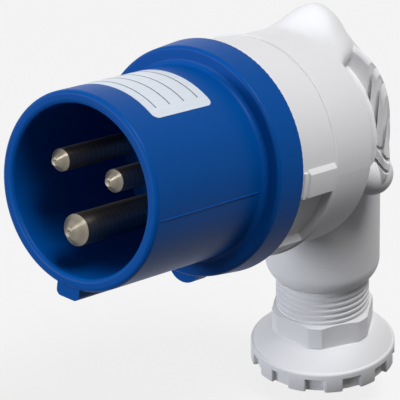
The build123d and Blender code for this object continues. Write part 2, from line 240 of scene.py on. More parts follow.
def toned(value, factor):
    """Linear RGBA of an sRGB hex colour, made darker or lighter by a factor."""
    return [min(1.0, c * factor) for c in linear(value)[:3]] + [1.0]


def add(tree, kind, inputs=None, **settings):
    """Adds a node, sets its settings, and sets or links its inputs by name or number."""
    node = tree.nodes.new(kind)
    for key, value in settings.items():
        setattr(node, key, value)
    for key, value in (inputs or {}).items():
        if isinstance(value, bpy.types.NodeSocket):
            tree.links.new(value, node.inputs[key])
        else:
            node.inputs[key].default_value = value
    return node


def new_material(name):
    """A node material with nothing but its output."""
    made = bpy.data.materials.new(name)
    made.use_nodes = True
    made.node_tree.nodes.clear()
    return made, made.node_tree, made.node_tree.nodes.new("ShaderNodeOutputMaterial")


def moulded_polyamide(name, base, shade, rough, shine):
    """Injection-moulded polyamide: satin skin, fine mould grain and faint flow shading in the colour."""
    made, tree, out = new_material(name)
    place = add(tree, "ShaderNodeTexCoord").outputs["Object"]
    # The melt leaves flow shading about 14 mm wide
    flow_width = 14 * MM
    flow = add(tree, "ShaderNodeTexNoise", {"Vector": place, "Scale": 1 / flow_width, "Detail": 2.0})
    tint = add(
        tree,
        "ShaderNodeMixRGB",
        {"Fac": flow.outputs["Fac"], "Color1": toned(base, shade), "Color2": linear(base)},
    )
    # The spark-eroded grain is about 0.1 mm wide on the real one, drawn at 0.6 mm so that it shows
    grain_width = 0.6 * MM
    grain_depth = 0.03 * MM
    grain = add(tree, "ShaderNodeTexNoise", {"Vector": place, "Scale": 1 / grain_width, "Detail": 3.0})
    gloss = add(
        tree,
        "ShaderNodeMapRange",
        {"Value": grain.outputs["Fac"], "To Min": rough - UNEVEN, "To Max": rough + UNEVEN},
    )
    bump = add(
        tree, "ShaderNodeBump", {"Height": grain.outputs["Fac"], "Strength": 0.2, "Distance": grain_depth}
    )
    skin = add(
        tree,
        "ShaderNodeBsdfPrincipled",
        {
            "Base Color": tint.outputs["Color"],
            "Roughness": gloss.outputs["Result"],
            "IOR": 1.53,
            "Specular IOR Level": shine,
            "Normal": bump.outputs["Normal"],
        },
    )
    tree.links.new(skin.outputs["BSDF"], out.inputs["Surface"])
    return made


def turned_metal(name, base, rough, mark_mm, lathe_axis):
    """Turned, plated metal: bright, with tool marks round its axis that draw highlights across them."""
    made, tree, out = new_material(name)
    place = add(tree, "ShaderNodeTexCoord").outputs["Object"]
    # A lathe leaves a mark about every 0.2 mm, drawn coarser here so that it shows. The wave texture
    # turns through 20 radians in one of its units, and a mark is one full turn
    marks = add(
        tree,
        "ShaderNodeTexWave",
        {"Vector": place, "Scale": 2 * pi / (20 * mark_mm * MM), "Distortion": 0.3, "Detail": 1.0},
        wave_type="BANDS",
        bands_direction=lathe_axis,
    )
    tint = add(
        tree,
        "ShaderNodeMixRGB",
        {"Fac": marks.outputs["Fac"], "Color1": toned(base, 0.85), "Color2": linear(base)},
    )
    # The plate is brighter and duller in clouds about 3 mm wide
    cloud_width = 3 * MM
    cloud = add(tree, "ShaderNodeTexNoise", {"Vector": place, "Scale": 1 / cloud_width, "Detail": 3.0})
    gloss = add(
        tree,
        "ShaderNodeMapRange",
        {"Value": cloud.outputs["Fac"], "To Min": rough - UNEVEN, "To Max": rough + UNEVEN},
    )
    mark_depth = 0.02 * MM
    bump = add(
        tree, "ShaderNodeBump", {"Height": marks.outputs["Fac"], "Strength": 0.3, "Distance": mark_depth}
    )
    around = add(tree, "ShaderNodeTangent", direction_type="RADIAL", axis=lathe_axis)
    plate = add(
        tree,
        "ShaderNodeBsdfPrincipled",
        {
            "Base Color": tint.outputs["Color"],
            "Metallic": 1.0,
            "Roughness": gloss.outputs["Result"],
            "Anisotropic": 0.8,
            "Anisotropic Rotation": 0.25,
            "Normal": bump.outputs["Normal"],
            "Tangent": around.outputs["Tangent"],
        },
    )
    tree.links.new(plate.outputs["BSDF"], out.inputs["Surface"])
    return made


def nitrile_rubber(name, base):
    """Moulded nitrile rubber: nearly black, dull, with a slightly dusty bloom."""
    made, tree, out = new_material(name)
    place = add(tree, "ShaderNodeTexCoord").outputs["Object"]
    # Bloom gathers in patches of about 2 mm
    bloom_width = 2 * MM
    bloom_depth = 0.05 * MM
    bloom = add(tree, "ShaderNodeTexNoise", {"Vector": place, "Scale": 1 / bloom_width, "Detail": 4.0})
    tint = add(
        tree,
        "ShaderNodeMixRGB",
        {"Fac": bloom.outputs["Fac"], "Color1": linear(base), "Color2": toned(base, 1.8)},
    )
    bump = add(
        tree, "ShaderNodeBump", {"Height": bloom.outputs["Fac"], "Strength": 0.3, "Distance": bloom_depth}
    )
    skin = add(
        tree,
        "ShaderNodeBsdfPrincipled",
        {
            "Base Color": tint.outputs["Color"],
            "Roughness": 0.8,
            "IOR": 1.52,
            "Normal": bump.outputs["Normal"],
        },
    )
    tree.links.new(skin.outputs["BSDF"], out.inputs["Surface"])
    return made


def label_film(name, base):
    """Silvered polyester film: cool pale grey with a soft metallic sheen and faint rolling streaks."""
    made, tree, out = new_material(name)
    place = add(tree, "ShaderNodeTexCoord").outputs["Object"]
    # Rolling streaks are about 0.8 mm wide, and much longer along the plug
    streak_width = 0.8 * MM
    along = add(tree, "ShaderNodeMapping", {"Vector": place, "Scale": (1.0, 0.08, 1.0)})
    streak = add(
        tree,
        "ShaderNodeTexNoise",
        {"Vector": along.outputs["Vector"], "Scale": 1 / streak_width, "Detail": 2.0},
    )
    tint = add(
        tree,
        "ShaderNodeMixRGB",
        {"Fac": streak.outputs["Fac"], "Color1": toned(base, 0.88), "Color2": linear(base)},
    )
    gloss = add(tree, "ShaderNodeMapRange", {"Value": streak.outputs["Fac"], "To Min": 0.32, "To Max": 0.44})
    film = add(
        tree,
        "ShaderNodeBsdfPrincipled",
        {
            "Base Color": tint.outputs["Color"],
            "Metallic": 0.25,
            "Roughness": gloss.outputs["Result"],
            "IOR": 1.6,
        },
    )
    tree.links.new(film.outputs["BSDF"], out.inputs["Surface"])
    return made


def printing_ink(name, base):
    """Thermal-printed ink: dark, dull and a little uneven in its cover."""
    made, tree, out = new_material(name)
    place = add(tree, "ShaderNodeTexCoord").outputs["Object"]
    # The ribbon leaves specks of about 0.4 mm
    speck_width = 0.4 * MM
    cover = add(tree, "ShaderNodeTexNoise", {"Vector": place, "Scale": 1 / speck_width, "Detail": 2.0})
    tint = add(
        tree,
        "ShaderNodeMixRGB",
        {"Fac": cover.outputs["Fac"], "Color1": linear(base), "Color2": toned(base, 1.6)},
    )
    ink = add(
        tree,
        "ShaderNodeBsdfPrincipled",
        {"Base Color": tint.outputs["Color"], "Roughness": 0.6, "IOR": 1.5},
    )
    tree.links.new(ink.outputs["BSDF"], out.inputs["Surface"])
    return made


def finish(name):
    """The plug's finish of that name, made on first use."""
    found = bpy.data.materials.get(name)
    if found:
        return found
    finishes = bpy.context.scene.plug_finishes
    # Colour, how much darker the flow shading is, roughness and specular level
    mouldings = {
        "blue_moulded_polyamide": (finishes.blue, 0.92, 0.4, 0.07),
        "pale_moulded_polyamide": (finishes.pale, 0.97, 0.5, 0.12),
        "unfilled_polyamide": (finishes.slip, 0.94, 0.5, 0.4),
        "dull_moulded_polyamide": (finishes.dull, 0.9, 0.6, 0.3),
    }
    # Colour, roughness, spacing of the tool marks in mm and axis of the lathe
    metals = {
        "nickel_plated_brass": (finishes.nickel, 0.33, 1.57, "Y"),
        "zinc_plated_steel": (finishes.zinc, 0.3, 1.26, "Z"),
    }
    others = {
        "nitrile_rubber": (nitrile_rubber, finishes.rubber),
        "silvered_polyester_film": (label_film, finishes.film),
        "thermal_printing_ink": (printing_ink, finishes.ink),
    }
    if name in mouldings:
        return moulded_polyamide(name, *mouldings[name])
    if name in metals:
        return turned_metal(name, *metals[name])
    maker, base = others[name]
    return maker(name, base)


# Shapes

def put_finish(node, name):
    """Gives a CAD node its finish."""
    piece = frame["nodes"][node]
    piece.data.materials.clear()
    piece.data.materials.append(finish(name))


def settle(mesh, name, body, finish_name):
    """Makes a finished mesh a piece of the plug that rides on a body."""
    piece = bpy.data.objects.new(name, mesh)
    bpy.context.scene.collection.objects.link(piece)
    mesh.materials.clear()
    mesh.materials.append(finish(finish_name))
    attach(piece, body)
    return piece


def smooth(mesh, limit_deg):
    """Smooth shading, with edges sharper than the limit kept crisp."""
    mesh.shade_smooth()
    mesh.set_sharp_from_angle(angle=radians(limit_deg))


def to_mesh(name, shape):
    """Merges doubles, turns the faces outwards and hands the shape over as a mesh."""
    bmesh.ops.remove_doubles(shape, verts=shape.verts, dist=MERGED)
    bmesh.ops.recalc_face_normals(shape, faces=shape.faces)
    mesh = bpy.data.meshes.new(name)
    shape.to_mesh(mesh)
    shape.free()
    return mesh


def rings_to_mesh(name, rings, closed):
    """Joins rings of points with quads; closed joins the last to the first, else both ends are capped."""
    shape = bmesh.new()
    rows = [[shape.verts.new(point) for point in ring] for ring in rings]
    pairs = list(zip(rows, rows[1:]))
    if closed:
        pairs.append((rows[-1], rows[0]))
    else:
        shape.faces.new(rows[0])
        shape.faces.new(rows[-1])
    for low, high in pairs:
        for i in range(len(low)):
            j = (i + 1) % len(low)
            shape.faces.new((low[i], low[j], high[j], high[i]))
    return to_mesh(name, shape)


def all_round(steps):
    """That many directions, evenly round a circle."""
    return [2 * pi * i / steps for i in range(steps)]


def ease(value, edge, width):
    """Rises softly from 0 to 1 as value passes an edge of that width."""
    t = min(1.0, max(0.0, (value - edge) / width + 0.5))
    return t * t * (3 - 2 * t)


def new_geometry(name, inputs):
    """A geometry tree with a geometry input, named inputs and one geometry output."""
    tree = bpy.data.node_groups.new(name, "GeometryNodeTree")
    tree.interface.new_socket("Geometry", in_out="INPUT", socket_type="NodeSocketGeometry")
    for label, kind in inputs:
        tree.interface.new_socket(label, in_out="INPUT", socket_type=kind)
    tree.interface.new_socket("Geometry", in_out="OUTPUT", socket_type="NodeSocketGeometry")
    return tree, tree.nodes.new("NodeGroupInput").outputs, tree.nodes.new("NodeGroupOutput")


def bake_nodes(name, tree, start, values):
    """Runs a geometry tree on a mesh and returns its result as a plain mesh."""
    maker = bpy.data.objects.new(name + "_maker", start)
    bpy.context.scene.collection.objects.link(maker)
    modifier = maker.modifiers.new(name, "NODES")
    modifier.node_group = tree
    for item in tree.interface.items_tree:
        if item.item_type == "SOCKET" and item.in_out == "INPUT" and item.name in values:
            modifier[item.identifier] = values[item.name]
    graph = bpy.context.evaluated_depsgraph_get()
    mesh = bpy.data.meshes.new_from_object(maker.evaluated_get(graph))
    mesh.name = name
    maker.modifiers.remove(modifier)
    bpy.data.objects.remove(maker)
    if not mesh.polygons:
        raise RuntimeError(name + ": the geometry tree gave no faces")
    return mesh


def thread_tree():
    """Helical thread: a spiral along the stem, swept with a trapezoid whose wide side lies on the root."""
    tree, given, out = new_geometry(
        "gland_thread",
        [
            ("Root Radius", "NodeSocketFloat"),
            ("Depth", "NodeSocketFloat"),
            ("Crest", "NodeSocketFloat"),
            ("Foot", "NodeSocketFloat"),
            ("Turns", "NodeSocketFloat"),
            ("Length", "NodeSocketFloat"),
            ("Finish", "NodeSocketMaterial"),
        ],
    )
    spiral = add(
        tree,
        "GeometryNodeCurveSpiral",
        {
            "Resolution": 96,
            "Rotations": given["Turns"],
            "Start Radius": given["Root Radius"],
            "End Radius": given["Root Radius"],
            "Height": given["Length"],
            "Reverse": True,
        },
    )
    upright = add(tree, "GeometryNodeSetCurveNormal", {"Curve": spiral.outputs[0]}, mode="Z_UP")
    profile = add(
        tree,
        "GeometryNodeCurvePrimitiveQuadrilateral",
        {
            "Bottom Width": given["Foot"],
            "Top Width": given["Crest"],
            "Height": given["Depth"],
            "Offset": 0.0,
        },
        mode="TRAPEZOID",
    )
    # The spiral carries a profile's +X outwards, so the narrow side is turned and lifted that way
    half = add(tree, "ShaderNodeMath", {0: given["Depth"], 1: 0.5}, operation="MULTIPLY")
    lift = add(tree, "ShaderNodeCombineXYZ", {"X": half.outputs[0]})
    turned = add(
        tree,
        "GeometryNodeTransform",
        {"Geometry": profile.outputs[0], "Translation": lift.outputs[0], "Rotation": (0.0, 0.0, -pi / 2)},
    )
    swept = add(
        tree,
        "GeometryNodeCurveToMesh",
        {"Curve": upright.outputs[0], "Profile Curve": turned.outputs[0], "Fill Caps": True},
    )
    real = add(tree, "GeometryNodeRealizeInstances", {"Geometry": swept.outputs[0]})
    done = add(tree, "GeometryNodeSetMaterial", {"Geometry": real.outputs[0], "Material": given["Finish"]})
    tree.links.new(done.outputs[0], out.inputs[0])
    return tree


def round_tree():
    """Sets a shape round the Z axis, evenly, as often as its count says."""
    tree, given, out = new_geometry(
        "set_round_axis",
        [("Count", "NodeSocketInt"), ("Phase", "NodeSocketFloat"), ("Finish", "NodeSocketMaterial")],
    )
    spots = add(tree, "GeometryNodeMeshLine", {"Count": given["Count"], "Offset": (0.0, 0.0, 0.0)})
    step = add(tree, "ShaderNodeMath", {0: 2 * pi, 1: given["Count"]}, operation="DIVIDE")
    number = add(tree, "GeometryNodeInputIndex")
    turn = add(
        tree,
        "ShaderNodeMath",
        {0: number.outputs[0], 1: step.outputs[0], 2: given["Phase"]},
        operation="MULTIPLY_ADD",
    )
    spin = add(tree, "ShaderNodeCombineXYZ", {"Z": turn.outputs[0]})
    ring = add(
        tree,
        "GeometryNodeInstanceOnPoints",
        {"Points": spots.outputs["Mesh"], "Instance": given["Geometry"], "Rotation": spin.outputs[0]},
    )
    real = add(tree, "GeometryNodeRealizeInstances", {"Geometry": ring.outputs[0]})
    done = add(tree, "GeometryNodeSetMaterial", {"Geometry": real.outputs[0], "Material": given["Finish"]})
    tree.links.new(done.outputs[0], out.inputs[0])
    return tree


def row_tree():
    """Sets a shape in a row along the plug axis."""
    tree, given, out = new_geometry(
        "set_in_row",
        [("Count", "NodeSocketInt"), ("Spacing", "NodeSocketFloat"), ("Finish", "NodeSocketMaterial")],
    )
    offset = add(tree, "ShaderNodeCombineXYZ", {"Y": given["Spacing"]})
    spots = add(tree, "GeometryNodeMeshLine", {"Count": given["Count"], "Offset": offset.outputs[0]})
    row = add(
        tree,
        "GeometryNodeInstanceOnPoints",
        {"Points": spots.outputs["Mesh"], "Instance": given["Geometry"]},
    )
    real = add(tree, "GeometryNodeRealizeInstances", {"Geometry": row.outputs[0]})
    done = add(tree, "GeometryNodeSetMaterial", {"Geometry": real.outputs[0], "Material": given["Finish"]})
    tree.links.new(done.outputs[0], out.inputs[0])
    return tree


def locking_ring(sizes):
    """Mesh of the locking ring, in the place of its CAD node."""
    low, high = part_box("bayonet_ring")
    front, back = low[1], high[1]
    rail_front = back - sizes.rail
    latch_front = front + sizes.latch_inset
    crisp = sizes.crisp
    slope_middle = sizes.latch_start + sizes.latch_slope / 2 / sizes.radius

    def outer(turn, y):
        """Radius of the ring's outside."""
        around = turn % pi
        along = sizes.radius * around
        from_top = ease(along, sizes.radius * sizes.window_start, crisp)
        in_window = from_top * (1 - ease(along, sizes.radius * sizes.window_stop, crisp))
        in_window *= 1 - ease(y, rail_front, crisp)
        in_latch = min(1.0, max(0.0, sizes.radius * (around - slope_middle) / sizes.latch_slope + 0.5))
        in_latch *= (1 - from_top) * ease(y, latch_front, crisp) * (1 - ease(y, rail_front, crisp))
        in_bar = ease(along, sizes.radius * sizes.latch_start + sizes.latch_slope / 2, crisp)
        in_bar *= 1 - ease(along, sizes.radius * sizes.window_start + sizes.bar_gap, crisp)
        in_bar *= ease(y, front + sizes.edge, crisp) * (1 - ease(y, latch_front - sizes.bar_gap, crisp))
        # The rail is a half-round between two grooves
        across = (y - rail_front) / sizes.rail * 2 - 1
        rise = (sizes.rail_rise + sizes.rail_groove) * sqrt(max(0.0, 1 - across ** 2))
        rise -= sizes.rail_groove * ease(y, rail_front - crisp, crisp)
        edge = max(0.0, sizes.edge - (y - front))
        drop = sizes.edge - sqrt(max(0.0, sizes.edge ** 2 - edge ** 2))
        raised = sizes.latch_height * in_latch + sizes.bar_height * in_bar
        sunk = min(sizes.window_depth * in_window, sizes.window_depth * (1 - in_bar))
        return sizes.radius + rise - drop - sunk + raised

    def close_to(edge, radius):
        """Samples packed round a turning edge; a radius makes them angles."""
        return {edge + i * crisp / 8 / radius for i in range(-5, 6)}

    # Samples lie closer where an edge turns
    spokes, edge_steps, plain_steps, rail_steps = 240, 6, 12, 12
    slope = sizes.latch_slope / sizes.radius
    edges = [sizes.latch_start, sizes.latch_start + slope / 2, sizes.latch_start + slope]
    edges += [sizes.window_start, sizes.window_start + sizes.bar_gap / sizes.radius, sizes.window_stop]
    turns = set(all_round(spokes))
    for edge in edges:
        turns |= close_to(edge, sizes.radius) | close_to(pi + edge, sizes.radius)
    turns = sorted(turns)
    plain = rail_front - front - sizes.edge
    places = {front + sizes.edge * (1 - cos(pi / 2 * i / edge_steps)) for i in range(edge_steps + 1)}
    places |= {front + sizes.edge + plain * i / plain_steps for i in range(plain_steps + 1)}
    places |= {back - sizes.rail / 2 * (1 - cos(pi * i / rail_steps)) for i in range(rail_steps + 1)}
    bends = [front + sizes.edge, latch_front - sizes.bar_gap, latch_front, rail_front - crisp, rail_front]
    for edge in bends:
        places |= close_to(edge, 1)
    rings = []
    for y in sorted(places):
        radii = [outer(a, y) for a in turns]
        rings.append([(r * sin(a), y, r * cos(a)) for r, a in zip(radii, turns)])
    for y in (back, front):
        rings.append([(sizes.bore * sin(a), y, sizes.bore * cos(a)) for a in turns])
    mesh = rings_to_mesh("locking_ring", rings, True)
    smooth(mesh, 40)
    return mesh


def gland_heights(sizes):
    """Heights on the gland axis: hexagon's top and foot, wheel's top, and its skirt's top and foot."""
    hex_top = -sizes.hex_top
    hex_foot = hex_top - sizes.hex_height
    wheel_top = hex_foot - sizes.bell_height
    skirt_top = wheel_top - sizes.rim
    return hex_top, hex_foot, wheel_top, skirt_top, skirt_top - sizes.skirt


def thread_root(sizes):
    """Radius of the stem between the crests of its thread."""
    return sizes.thread_diameter / 2 - sizes.thread_depth


def gland_core(sizes):
    """Mesh of stem, bell and hand wheel, turned about the gland axis from one closed profile."""
    spokes, flare_steps, round_steps = 144, 12, 6
    crown = 0.45
    hex_top, hex_foot, wheel_top, skirt_top, foot = gland_heights(sizes)
    bore = sizes.bore_diameter / 2
    tube = bore + sizes.bore_wall
    root = thread_root(sizes)
    bell = sizes.bell_diameter / 2
    wheel = sizes.wheel_diameter / 2
    skin = wheel - sizes.pocket_depth
    inner = wheel - sizes.skirt_wall
    profile = [
        (bore, -sizes.stem_top),
        (root, -sizes.stem_top),
        (root, hex_top),
        (root, hex_foot),
        (bell, hex_foot),
    ]
    # The bell is crowned: it falls away faster towards the rim
    for i in range(1, flare_steps + 1):
        t = i / flare_steps
        r = bell + (wheel - sizes.rim_round - bell) * t
        profile.append((r, hex_foot - sizes.bell_height * ((1 - crown) * t + crown * t * t)))
    for i in range(1, round_steps + 1):
        t = i / round_steps * pi / 2
        r = wheel - sizes.rim_round * (1 - sin(t))
        profile.append((r, wheel_top - sizes.rim_round * (1 - cos(t))))
    profile += [
        (wheel, skirt_top),
        (skin, skirt_top),
        (skin, foot),
        (inner, foot),
        (inner, wheel_top - sizes.web),
        (tube, hex_foot - sizes.web),
        (tube, foot),
        (bore, foot),
    ]
    rings = [[(r * cos(a), r * sin(a), z) for a in all_round(spokes)] for r, z in profile]
    mesh = rings_to_mesh("gland_core", rings, True)
    smooth(mesh, 35)
    return mesh


def gland_hexagon(sizes):
    """Mesh of the hexagon, with its corners turned round and a turned chamfer on top."""
    spokes, chamfer_steps = 360, 8
    softened = 0.3 * MM
    hex_top, hex_foot = gland_heights(sizes)[:2]
    flat = sizes.across_flats / 2
    corner = sizes.corner_diameter / 2
    sunk = thread_root(sizes) - softened

    def ring(z, limit):
        """One ring of the hexagon's outside, nowhere further out than a limit."""
        points = []
        for a in all_round(spokes):
            off = (a - sizes.hex_phase) % (pi / 3) - pi / 6
            r = min(flat / cos(off), corner, limit)
            points.append((r * cos(a), r * sin(a), z))
        return points

    rings = [ring(hex_top, sunk), ring(hex_top, flat - softened)]
    for i in range(chamfer_steps + 1):
        t = i / chamfer_steps
        rings.append(ring(hex_top - sizes.hex_chamfer * t, flat + (corner - flat) * t))
    rings += [ring(hex_foot + softened, corner), ring(hex_foot, corner - softened), ring(hex_foot, sunk)]
    mesh = rings_to_mesh("gland_hexagon", rings, True)
    smooth(mesh, 18)
    return mesh


def gland_teeth(sizes):
    """Mesh of the grip teeth round the hand wheel, each as wide as a pocket and with rounded edges."""
    corner_steps, face_steps = 4, 8
    foot = gland_heights(sizes)[-1]
    wheel = sizes.wheel_diameter / 2
    half = pi / 2 / sizes.pockets * wheel
    tooth_round = sizes.tooth_round
    # The inner side lies under the skirt's skin
    inside = wheel - sizes.pocket_depth - tooth_round
    side = [(-half, inside), (-half, wheel - tooth_round)]
    for i in range(1, corner_steps + 1):
        t = i / corner_steps * pi / 2
        side.append((-half + tooth_round * (1 - cos(t)), wheel - tooth_round * (1 - sin(t))))
    face = [(half * (2 * i / face_steps - 1), wheel) for i in range(1, face_steps)]
    outline = side + face + [(-s, r) for s, r in reversed(side)]
    # The lower edge turns over in two facets
    middle = tooth_round * 0.3
    rings = []
    for z, shrink in ((0.0, tooth_round), (middle, middle), (tooth_round, 0.0), (sizes.skirt, 0.0)):
        ring = []
        for s, r in outline:
            a = s * (1 - shrink / half) / wheel
            r = max(inside, r - shrink)
            ring.append((r * cos(a), r * sin(a), foot + z))
        rings.append(ring)
    mesh = bake_nodes(
        "gland_teeth",
        round_tree(),
        rings_to_mesh("grip_tooth", rings, False),
        {
            "Count": sizes.pockets,
            "Phase": sizes.pocket_phase + pi / sizes.pockets,
            "Finish": finish("pale_moulded_polyamide"),
        },
    )
    smooth(mesh, 35)
    return mesh


def gland_thread(sizes):
    """Mesh of the helical thread, from the stem's upper end into the hexagon."""
    # Share of its depth that the ridge is sunk into the stem, and share of the pitch that its foot takes
    sunk, foot = 0.1, 0.94
    stem = sizes.hex_top - sizes.stem_top
    mesh = bake_nodes(
        "gland_thread",
        thread_tree(),
        bpy.data.meshes.new("thread_start"),
        {
            "Root Radius": thread_root(sizes) - sizes.thread_depth * sunk,
            "Depth": sizes.thread_depth * (1 + sunk),
            "Crest": sizes.crest,
            "Foot": sizes.pitch * foot,
            "Turns": stem / sizes.pitch,
            "Length": stem,
            "Finish": finish("pale_moulded_polyamide"),
        },
    )
    mesh.transform(Matrix.Translation((0, 0, -sizes.hex_top - sizes.pitch / 2)))
    smooth(mesh, 35)
    return mesh


def parting_line(name, sizes, side):
    """Mesh of the flash along one side of the shroud: a low half-round whose ends run out flat."""
    steps, run_out, arc_steps = 40, 2, 8
    thinnest = 0.01
    radius = sizes.shroud_diameter / 2
    half = sizes.flash_width / 2
    sunk = radius - sizes.flash_height
    rings = []
    for i in range(steps + 1):
        y = sizes.flash_front + (sizes.flash_back - sizes.flash_front) * i / steps
        swell = min(1.0, sqrt(min(i, steps - i) / run_out + thinnest))
        ring = []
        for k in range(arc_steps + 1):
            t = pi * k / arc_steps
            ring.append((side * (radius + sizes.flash_height * swell * sin(t)), y, half * cos(t)))
        ring += [(side * sunk, y, -half), (side * sunk, y, half)]
        rings.append(ring)
    mesh = rings_to_mesh(name, rings, False)
    smooth(mesh, 50)
    return mesh


def film_patch(name, radius, thickness, front, back, reach, corner, across, straight, rounds):
    """A thin closed patch with rounded corners, on a cylinder about the plug axis.

    Its arc reaches that far to either side of the top. The last three numbers count its faces: across it,
    along its straight sides and along each corner.
    """
    bend = [corner * (1 - cos(pi / 2 * i / rounds)) for i in range(rounds)]
    plain = [corner + (back - front - 2 * corner) * i / straight for i in range(straight + 1)]
    stations = [front + b for b in bend] + [front + p for p in plain] + [back - b for b in reversed(bend)]
    shape = bmesh.new()
    outside, inside = [], []
    for y in stations:
        depth = min(y - front, back - y, corner)
        half = reach - corner + sqrt(max(0.0, corner ** 2 - (corner - depth) ** 2))
        arcs = [(2 * i / across - 1) * half / radius for i in range(across + 1)]
        for grid, r in ((outside, radius), (inside, radius - thickness)):
            grid.append([shape.verts.new((r * sin(a), y, r * cos(a))) for a in arcs])
    for grid in (outside, inside):
        for low, high in zip(grid, grid[1:]):
            for i in range(across):
                shape.faces.new((low[i], high[i], high[i + 1], low[i + 1]))
    # Walls along the two ends and the two sides
    borders = [(outside[0], inside[0]), (outside[-1], inside[-1])]
    borders += [([row[end] for row in outside], [row[end] for row in inside]) for end in (0, -1)]
    for high, low in borders:
        for i in range(len(high) - 1):
            shape.faces.new((high[i], high[i + 1], low[i + 1], low[i]))
    mesh = to_mesh(name, shape)
    smooth(mesh, 40)
    return mesh


# Studio

def seen_rays(tree):
    """Socket that is 1 for what the camera sees, also in a mirror or through glass."""
    rays = add(tree, "ShaderNodeLightPath").outputs
    mirrored = add(
        tree,
        "ShaderNodeMath",
        {0: rays["Is Glossy Ray"], 1: rays["Is Transmission Ray"]},
        operation="MAXIMUM",
    )
    seen = add(
        tree, "ShaderNodeMath", {0: rays["Is Camera Ray"], 1: mirrored.outputs[0]}, operation="MAXIMUM"
    )
    return seen.outputs[0]


def studio_paper(base):
    """Matt studio paper: plain and pale to the eye, and dim to the light that would bounce up from it."""
    made, tree, out = new_material("matt_studio_paper")
    dim = add(tree, "ShaderNodeBsdfDiffuse", {"Color": linear("#3A3A3C")})
    shown = add(tree, "ShaderNodeBsdfDiffuse", {"Color": linear("#5C5C5C")})
    lift = add(tree, "ShaderNodeEmission", {"Color": linear(base), "Strength": 0.9})
    bright = add(tree, "ShaderNodeAddShader", {0: shown.outputs[0], 1: lift.outputs[0]})
    mixed = add(tree, "ShaderNodeMixShader", {0: seen_rays(tree), 1: dim.outputs[0], 2: bright.outputs[0]})
    tree.links.new(mixed.outputs[0], out.inputs["Surface"])
    return made


def lay_floor(scene, sizes):
    """Lays the floor under the plug, low enough for the gland screw to be turned out."""
    floor_reach = 3.0
    shape = bmesh.new()
    bmesh.ops.create_grid(shape, x_segments=1, y_segments=1, size=floor_reach)
    sheet = bpy.data.meshes.new("studio_floor")
    shape.to_mesh(sheet)
    shape.free()
    sheet.transform(Matrix.Translation((0, 0, CAD_BOX[0][2] - sizes.floor_gap)))
    sheet.materials.append(studio_paper(sizes.paper))
    floor = bpy.data.objects.new("studio_floor", sheet)
    scene.collection.objects.link(floor)


def light_room(scene, sizes):
    """Fills the room with even light, and shows it white."""
    world = bpy.data.worlds.new("studio_room")
    scene.world = world
    world.use_nodes = True
    tree = world.node_tree
    tree.nodes.clear()
    room = add(tree, "ShaderNodeBackground", {"Color": linear("#FFFFFF"), "Strength": sizes.room})
    shown = add(tree, "ShaderNodeBackground", {"Color": linear("#FFFFFF"), "Strength": 1.0})
    mixed = add(tree, "ShaderNodeMixShader", {0: seen_rays(tree), 1: room.outputs[0], 2: shown.outputs[0]})
    add(tree, "ShaderNodeOutputWorld", {"Surface": mixed.outputs[0]})


def place_lamps(scene, sizes):
    """Hangs the softboxes, all turned to the middle of the plug."""
    middle = Vector((0, 0.045, -0.01))
    # Name, place in metres, colour, width, height and power
    lamps = [
        ("key_softbox", (0.4, -0.14, 0.88), "#FFFFFF", 0.4, 0.4, sizes.key_power),
        ("front_softbox", (-0.46, -1.0, 0.05), "#F4F7FF", 0.9, 0.18, sizes.front_power),
        ("back_softbox", (-0.55, 1.0, 0.2), "#FFFFFF", 0.6, 0.4, sizes.back_power),
    ]
    for name, place, tint, width, height, watts in lamps:
        lamp = bpy.data.lights.new(name, "AREA")
        lamp.shape = "RECTANGLE"
        lamp.color = linear(tint)[:3]
        lamp.size = width
        lamp.size_y = height
        lamp.energy = watts
        holder = bpy.data.objects.new(name, lamp)
        holder.location = place
        holder.rotation_mode = "QUATERNION"
        holder.rotation_quaternion = (middle - Vector(place)).to_track_quat("-Z", "Y")
        # The light behind only fills shade, so no gloss mirrors it
        holder.visible_glossy = name != "back_softbox"
        scene.collection.objects.link(holder)


def place_camera(scene, sizes):
    """Sets the camera at the photo's angle."""
    az, el, roll = sizes.azimuth, sizes.elevation, sizes.roll
    back = Vector((sin(az) * cos(el), -cos(az) * cos(el), sin(el)))
    level = Vector((0, 0, 1)).cross(back).normalized()
    upright = back.cross(level)
    right = cos(roll) * level + sin(roll) * upright
    up = cos(roll) * upright - sin(roll) * level
    lens = bpy.data.cameras.new("photo_camera")
    lens.lens = sizes.lens
    lens.sensor_width = 36.0
    lens.clip_start = 0.05
    lens.clip_end = 20.0
    camera = bpy.data.objects.new("photo_camera", lens)
    camera.matrix_world = Matrix((right, up, back)).transposed().to_4x4()
    camera.location = Vector(sizes.target) + sizes.distance * back
    scene.collection.objects.link(camera)
    scene.camera = camera


# Operators

class PLUG_OT_finish_mouldings(bpy.types.Operator):
    """Gives the carrier, the elbow housing, the retainer and the slip ring their moulded finishes"""

    bl_idname = "plug.finish_mouldings"
    bl_label = "Finish mouldings"

    def execute(self, context):
        put_finish("contact_carrier", "blue_moulded_polyamide")
        put_finish("elbow_housing", "pale_moulded_polyamide")
        put_finish("pin_retainer", "dull_moulded_polyamide")
        put_finish("thrust_ring", "unfilled_polyamide")
        return {"FINISHED"}


class PLUG_OT_finish_metal(bpy.types.Operator):
    """Gives the pins and the small screws their plated finishes"""

    bl_idname = "plug.finish_metal"
    bl_label = "Finish metal"

    def execute(self, context):
        for contact in ("line", "neutral", "earth"):
            put_finish(contact + "_pin", "nickel_plated_brass")
            put_finish(contact + "_terminal_screw", "zinc_plated_steel")
        put_finish("retainer_screw", "zinc_plated_steel")
        return {"FINISHED"}


class PLUG_OT_finish_seals(bpy.types.Operator):
    """Gives the gasket and the cable seal their rubber finish"""

    bl_idname = "plug.finish_seals"
    bl_label = "Finish seals"

    def execute(self, context):
        put_finish("carrier_gasket", "nitrile_rubber")
        put_finish("cable_seal", "nitrile_rubber")
        return {"FINISHED"}


